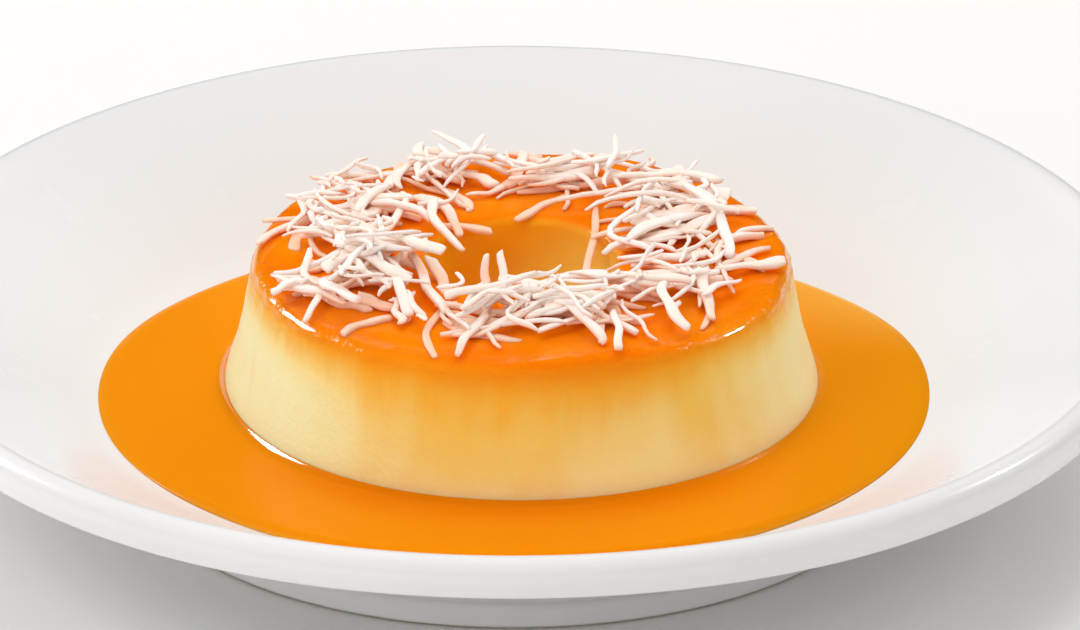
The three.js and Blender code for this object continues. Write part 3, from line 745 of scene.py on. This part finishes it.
def shreds_mesh(name, shreds, lines, sides, heap, seed, blunt, corners=10, stride=1):
    """Many shreds as one mesh: a rounded oblong section is carried along each middle line. It leans to one
    end, narrows to both as far as blunt says, swells a little on the way, turns slowly about the line and
    ends in slanted cuts. The stride thins the sections. Each point keeps its shred's shade and how deep in
    the heap it lies."""
    random = np.random.default_rng(seed)
    count = len(shreds)
    lines, sides = np.array(lines), np.array(sides)
    t = np.linspace(-1, 1, SAMPLES)[None]
    value = lambda key: np.array([shred[key] for shred in shreds])[:, None]
    phase = random.uniform(0, 2 * math.pi, (count, 4, 1))
    swell = 1 + 0.09 * np.sin(3.1 * t + phase[:, 0]) + 0.05 * np.sin(8.3 * t + phase[:, 1])
    ends = random.uniform(0.15, 0.65, (count, 2)) * blunt
    lean = random.uniform(-0.22, 0.22, (count, 1))
    taper = (1 + lean * t - np.where(t < 0, ends[:, :1], ends[:, 1:]) * t**6) * swell
    thin = 1 + 0.12 * np.sin(4.2 * t + phase[:, 2])
    roll = value("roll") + random.uniform(-0.6, 0.6, (count, 1)) * t
    wander = 0.11 * np.sin(5 * t + phase[:, 3]) * value("width")
    slant = random.uniform(-0.8, 0.8, (count, 2))
    slant = np.where(t < 0, slant[:, :1], slant[:, 1:]) * t**8
    shade = random.uniform(0, 1, count)

    run = np.gradient(lines, axis=1)
    run /= np.linalg.norm(run, axis=2, keepdims=True)
    flat = np.concatenate([sides, np.zeros((count, SAMPLES, 1))], 2)
    up = np.cross(run, flat)
    up /= np.linalg.norm(up, axis=2, keepdims=True)
    across = flat * np.cos(roll)[..., None] + up * np.sin(roll)[..., None]
    lift = up * np.cos(roll)[..., None] - flat * np.sin(roll)[..., None]
    a = np.linspace(0, 2 * math.pi, corners, endpoint=False)
    wide = np.sign(np.cos(a)) * np.abs(np.cos(a)) ** 0.5
    tall = np.sign(np.sin(a)) * np.abs(np.sin(a)) ** 0.6
    half_width = (value("width") * REACH * taper)[..., None, None]
    half_height = (value("thickness") / 2 * taper**0.7 * thin)[..., None, None]
    middle = lines + flat * wander[..., None]
    points = middle[:, :, None] + across[:, :, None] * wide[:, None] * half_width
    points = points + lift[:, :, None] * tall[:, None] * half_height
    points = points + run[:, :, None] * (slant[..., None] * wide * half_width[..., 0])[..., None]
    points = points[:, ::stride]
    tips = middle[:, [0, -1]] + run[:, [0, -1]] * np.array([-TIP, TIP])[None, :, None]

    every = np.concatenate([points.reshape(-1, 3), tips.reshape(-1, 3)])
    rings = points.shape[1]
    # The sunk field is how deep a point lies in the heap; the coconut's colour turns it into painted shade.
    fields = {
        "shade": np.concatenate([np.repeat(shade, rings * corners), np.repeat(shade, 2)]),
        "sunk": heap[map_cells(every[:, :2])] - every[:, 2],
    }
    every[:, :2] += FLAN_CENTRE
    return make_mesh(name, every, *tube_faces(count, rings, corners), fields)


def build_coconut(props):
    """Lays the same shreds as the solid: the loose ones, then those that stand out. Finer ones and crumbs are
    then laid on a lower map, so that they thread through the heap and fill its gaps. The broad strips come
    last, on a softened map, so that they lie on the heap and not on its stray ends."""
    draw = random_numbers(944)
    kinds = {"coarse": [drawn_shred(draw, (9, 22), (1.5, 2.8), (0.9, 1.4)) for _ in range(props.coarse)]}
    kinds["leading"] = [leading_shred(*shape) for shape in LEADING]
    draw = random_numbers(362)
    kinds["fine"] = [drawn_shred(draw, (7, 21), (0.8, 1.7), (0.6, 1.0), 1.25) for _ in range(props.fine)]
    kinds["crumbs"] = [drawn_shred(draw, (2, 5), (0.7, 1.5), (0.5, 0.9), 1.3) for _ in range(props.crumbs)]
    kinds["broad"] = [leading_shred(*shape) for shape in BROAD]
    random = np.random.default_rng(9)
    for shred in kinds["fine"]:
        shred["sway"] = random.uniform(-0.7, 0.7)
        shred["curl"] = max(0.0, random.uniform(-6, 2.6))
        shred["free"] = 1

    heights = height_map()
    bare = heights.copy()
    laid = {}
    for name, shreds in kinds.items():
        if name == "fine":
            heap = heights
            heights = bare + FINE_LEVEL * (heights - bare)
        if name == "broad":
            heights = softened(bare + BROAD_LEVEL * (heights - bare))
        laid[name] = list(zip(*(laid_shred(shred, heights) for shred in shreds)))
    heap = softened(np.maximum(heap, heights))

    # Seed and bluntness of each kind, and for the small ones the corners of a section and the stride.
    looks = {
        "coarse": (5, 0.8),
        "leading": (6, 0.5),
        "fine": (7, 1.0, 6, 3),
        "broad": (4, 0.5),
        "crumbs": (8, 1.0, 6, 3),
    }
    pieces = []
    for name, look in looks.items():
        pieces.append(shreds_mesh(f"coconut_{name}", kinds[name], *laid[name], heap, *look))
    return pieces


def coconut_finish(props):
    """Moist coconut flesh: white on top of the heap and warmer deep in it as painted shade. Where it lies on
    the caramel it is tinted by that, partly as a stain and partly as painted bounce light. It has a fine
    grain, and light passes a little way in."""
    constants = {"IOR": 1.4, "Subsurface Weight": 0.25, "Subsurface Radius": (1.0, 0.8, 0.7)}
    constants.update({"Subsurface Scale": 0.0011, "Specular IOR Level": 0.2})
    finish = Finish("coconut", constants)
    where = finish.place()
    shade = finish.attribute("shade")
    sunk = finish.attribute("sunk")
    z = finish.part(where, 2)
    mottle = finish.noise(where, 0.5, 2.0)
    # Partly caramel stain and partly painted bounce light: the lowest shreds, which lie on the caramel, turn
    # peach.
    soaked = finish.step(z + 1.6 * (mottle - 0.5) + 1.2 * (shade - 0.5), 40.8, 43.8, 1.0, 0.0)
    # Painted shade: the deeper a point lies in the heap, the warmer and darker its colour.
    inside = finish.step(sunk + 0.8 * (mottle - 0.5), -1.2, 1.4)
    white = finish.mix(shade, props.white, toned(props.white, 1.0, 0.94, 0.88))
    colour = finish.mix(inside * 0.85, white, props.inner)
    colour = finish.mix(soaked * 0.7, colour, props.soaked)
    finish.set(Base_Color=colour, Roughness=0.42 + 0.2 * mottle)
    finish.bump(finish.noise(where, 1.8, 3.0, 0.6), 0.05, 0.4)
    return finish


# ---- Stage --------------------------------------------------------------------------------------------
# Name, place, size, share of the key light's power and colour of each soft box.
LIGHTS = [
    ("key", (-0.7, -0.5, 1.0), (0.5, 0.5), 1.0, (1.0, 0.99, 0.975)),
    ("back", (0.1, 1.0, 0.9), (1.2, 0.5), 2.0, (1.0, 0.99, 0.985)),
    ("low", (-0.95, -0.6, 0.14), (0.3, 0.2), 0.37, (1.0, 0.985, 0.97)),
    ("top", (0.0, 0.1, 1.0), (0.6, 0.6), 0.92, (1.0, 0.99, 0.985)),
]
# Name, place, size and power of the small boxes that the wet surfaces mirror.
GLINTS = [
    ("glint_left", (-0.8, 0.35, 0.47), (0.4, 0.34), 16.0),
    ("glint_right", (0.75, 0.236, 0.618), (0.08, 0.08), 5.0),
]
LIT_POINT = Vector((0, 0, 0.03))
# The point that the camera looks at, how steeply it looks down, the width of its sensor in millimetres, the
# width of the frame in pixels, and how many of them a millimetre takes at that point.
LOOK_AT, LOOK_DOWN = Vector((0.00486, 0, 0.031)), math.radians(24.3)
SENSOR, FRAME_WIDTH, FRAME_SCALE = 36, 1080, 5.45
# Height of the floor in millimetres: a hair below the plate's foot.
FLOOR_LEVEL = -0.05


def area_light(name, place, size, power, colour, mirrored):
    """A soft box that faces the dessert. A mirrored one shows only in gloss, and any other only lights."""
    light = bpy.data.lights.new(name, "AREA")
    light.shape, light.size, light.size_y = "RECTANGLE", *size
    light.energy, light.color = power, colour
    lamp = bpy.data.objects.new(name, light)
    lamp.location = place
    lamp.rotation_euler = (LIT_POINT - Vector(place)).to_track_quat("-Z", "Y").to_euler()
    lamp.visible_camera = False
    lamp.visible_diffuse, lamp.visible_glossy = not mirrored, mirrored
    bpy.context.scene.collection.objects.link(lamp)


def build_floor(props):
    """A pale level disc, far wider than what the camera sees."""
    angle = np.linspace(0, 2 * math.pi, 96, endpoint=False)
    radius = np.array([200.0, 600.0, 2000.0, 9000.0])[:, None] + 0 * angle
    points = ring_points(radius, angle, 0 * radius + FLOOR_LEVEL)
    every = np.concatenate([points.reshape(-1, 3), [(0, 0, FLOOR_LEVEL)]])
    fan = cap_triangles(np.arange(angle.size), radius.size, True)
    floor = make_mesh("floor", every, loop_quads(*radius.shape, False)[:, ::-1], fan)
    finish = Finish("pale_floor", {"Roughness": 0.7})
    grain = finish.noise(finish.place(), 0.02, 3.0)
    finish.set(Base_Color=finish.mix(grain, props.floor, toned(props.floor, 0.98, 0.98, 0.98)))
    floor.data.materials.append(finish.material)


def build_stage(props):
    """The floor, soft studio light from all round and from the boxes, and a long lens on the dessert."""
    build_floor(props)
    world = bpy.data.worlds.new("studio")
    world.use_nodes = True
    world.node_tree.nodes["Background"].inputs["Color"].default_value = (1.0, 0.99, 0.98, 1)
    world.node_tree.nodes["Background"].inputs["Strength"].default_value = props.ambient
    world.cycles_visibility.glossy = False
    bpy.context.scene.world = world
    for name, place, size, share, colour in LIGHTS:
        area_light(name, place, size, props.key * share, colour, False)
    for name, place, size, power in GLINTS:
        area_light(name, place, size, power, (1, 1, 1), True)

    camera = bpy.data.objects.new("camera", bpy.data.cameras.new("camera"))
    camera.data.sensor_width, camera.data.lens = SENSOR, props.lens
    distance = props.lens / SENSOR * FRAME_WIDTH / FRAME_SCALE * 0.001
    back = Vector((0, -math.cos(LOOK_DOWN), math.sin(LOOK_DOWN)))
    camera.location = LOOK_AT + back * distance
    camera.rotation_euler = (-back).to_track_quat("-Z", "Y").to_euler()
    camera.data.clip_end = 100
    bpy.context.scene.collection.objects.link(camera)
    bpy.context.scene.camera = camera
    bpy.context.scene.view_settings.view_transform = "Standard"


# ---- Settings, operators and panel --------------------------------------------------------------------
def size_of(name, description, default, low, high):
    kind = {"subtype": "DISTANCE", "unit": "LENGTH"}
    return FloatProperty(name=name, description=description, default=default, min=low, max=high, **kind)


def colour_of(name, description, default):
    kind = {"size": 3, "min": 0, "max": 1, "subtype": "COLOR"}
    return FloatVectorProperty(name=name, description=description, default=default, **kind)


def count_of(name, description, default, low, high):
    return IntProperty(name=name, description=description, default=default, min=low, max=high)


def strength_of(name, description, default, low, high, unit="NONE"):
    limits = {"min": low, "max": high}
    return FloatProperty(name=name, description=description, default=default, **limits, unit=unit)


class PlateSettings(bpy.types.PropertyGroup):
    radius: size_of("Radius", "From the axis to the outside of the lip", PLATE_BOX[1][0], 0.09, 0.15)
    height: size_of("Height", "From the table to the top of the lip", PLATE_BOX[1][2], 0.02, 0.06)
    foot_radius: size_of("Foot radius", "From the axis to the outside of the foot ring", 0.0705, 0.05, 0.09)
    segments: count_of("Segments", "Faces round the plate", 256, 32, 512)
    colour: colour_of("Porcelain", "Colour of the porcelain under its glaze", linear(240, 239, 239))


class CustardSettings(bpy.types.PropertyGroup):
    segments: count_of("Segments", "Faces round the custard", 384, 64, 512)
    cream: colour_of("Cream", "Palest tone of the side", linear(255, 245, 190))
    # Tan and yellow are painted light: tan is the shade of the less lit front of the side, yellow the side
    # towards the right.
    tan: colour_of("Tan", "Tone of the side where the caramel has run most", linear(253, 203, 94))
    yellow: colour_of("Yellow", "Yellow tone of the side", linear(255, 204, 90))
    gold: colour_of("Gold", "Tone of the side just under the caramel", linear(253, 172, 36))
    caramel: colour_of("Caramel", "Caramel that has soaked into the top", linear(255, 134, 2))


class SauceSettings(bpy.types.PropertyGroup):
    thin: colour_of("Thin sauce", "Colour at the edge, where it is thin", linear(252, 168, 46))
    deep: colour_of("Deep sauce", "Colour where it is deep", linear(242, 140, 4))
    shaded: colour_of("Beside the custard", "Colour of the band beside the custard", linear(234, 122, 0))


class CoconutSettings(bpy.types.PropertyGroup):
    coarse: count_of("Coarse shreds", "Number of thick shreds", 74, 1, 200)
    fine: count_of("Fine shreds", "Number of thin shreds", 220, 1, 300)
    crumbs: count_of("Crumbs", "Number of short broken bits", 36, 1, 200)
    white: colour_of("White", "Colour of dry coconut", linear(255, 244, 238))
    # The inner colour is painted shade deep in the heap; the soaked colour is partly caramel stain and partly
    # painted bounce light.
    inner: colour_of("Inner coconut", "Colour of coconut deep in a heap", linear(255, 216, 192))
    soaked: colour_of("Soaked", "Colour of coconut that lies on the caramel", linear(255, 192, 150))


class StageSettings(bpy.types.PropertyGroup):
    lens: strength_of("Lens", "Focal length in millimetres", 900, 50, 950)
    key: strength_of("Key light", "Power of the key light", 2.4, 0, 200, "POWER")
    ambient: strength_of("Ambient", "Strength of the light from all round", 0.72, 0, 3)
    floor: colour_of("Floor", "Colour of the floor", (0.86, 0.85, 0.835))


class FLAN_OT_plate(bpy.types.Operator):
    """Make the porcelain plate"""

    bl_idname = "flan.plate"
    bl_label = "Plate"

    def execute(self, context):
        settings = context.scene.flan_plate
        place_piece(build_plate(settings), porcelain(settings), "porcelain", "plate")
        return {"FINISHED"}


class FLAN_OT_custard(bpy.types.Operator):
    """Make the custard ring with its caramel-soaked top"""

    bl_idname = "flan.custard"
    bl_label = "Custard"

    def execute(self, context):
        settings = context.scene.flan_custard
        place_piece(build_custard(settings), custard_finish(settings), "custard", "flan")
        return {"FINISHED"}


class FLAN_OT_sauce(bpy.types.Operator):
    """Make the caramel sauce round the flan and in its hole"""

    bl_idname = "flan.sauce"
    bl_label = "Sauce"

    def execute(self, context):
        finish = caramel_finish(context.scene.flan_sauce)
        place_piece(build_pool(), finish, "caramel", "caramel_pool")
        place_piece(build_well(), finish, "caramel", "caramel_well")
        return {"FINISHED"}


class FLAN_OT_coconut(bpy.types.Operator):
    """Scatter the shredded coconut on the flan"""

    bl_idname = "flan.coconut"
    bl_label = "Coconut"

    def execute(self, context):
        settings = context.scene.flan_coconut
        finish = coconut_finish(settings)
        for piece in build_coconut(settings):
            place_piece(piece, finish, "custard", "flan")
        return {"FINISHED"}


class FLAN_OT_stage(bpy.types.Operator):
    """Set up the floor, the lights and the camera"""

    bl_idname = "flan.stage"
    bl_label = "Stage"

    def execute(self, context):
        build_stage(context.scene.flan_stage)
        return {"FINISHED"}


class FLAN_PT_panel(bpy.types.Panel):
    """Settings and buttons for each part of the dessert"""

    bl_idname = "FLAN_PT_panel"
    bl_label = "Caramel flan"
    bl_space_type = "VIEW_3D"
    bl_region_type = "UI"
    bl_category = "Flan"

    def draw(self, context):
        for key in SETTINGS:
            settings = getattr(context.scene, f"flan_{key}")
            box = self.layout.box()
            for name in settings.__annotations__:
                box.prop(settings, name)
            box.operator(f"flan.{key}")


SETTINGS = {
    "plate": PlateSettings,
    "custard": CustardSettings,
    "sauce": SauceSettings,
    "coconut": CoconutSettings,
    "stage": StageSettings,
}
OPERATORS = [FLAN_OT_plate, FLAN_OT_custard, FLAN_OT_sauce, FLAN_OT_coconut, FLAN_OT_stage]
CLASSES = [*SETTINGS.values(), *OPERATORS, FLAN_PT_panel]


def register():
    for cls in CLASSES:
        bpy.utils.register_class(cls)
    for key, cls in SETTINGS.items():
        setattr(bpy.types.Scene, f"flan_{key}", PointerProperty(type=cls))


def unregister():
    for key in SETTINGS:
        delattr(bpy.types.Scene, f"flan_{key}")
    for cls in reversed(CLASSES):
        bpy.utils.unregister_class(cls)


def main():
    register()
    bpy.ops.flan.plate()
    bpy.ops.flan.custard()
    bpy.ops.flan.sauce()
    bpy.ops.flan.coconut()
    bpy.ops.flan.stage()


if __name__ == "__main__":
    main()
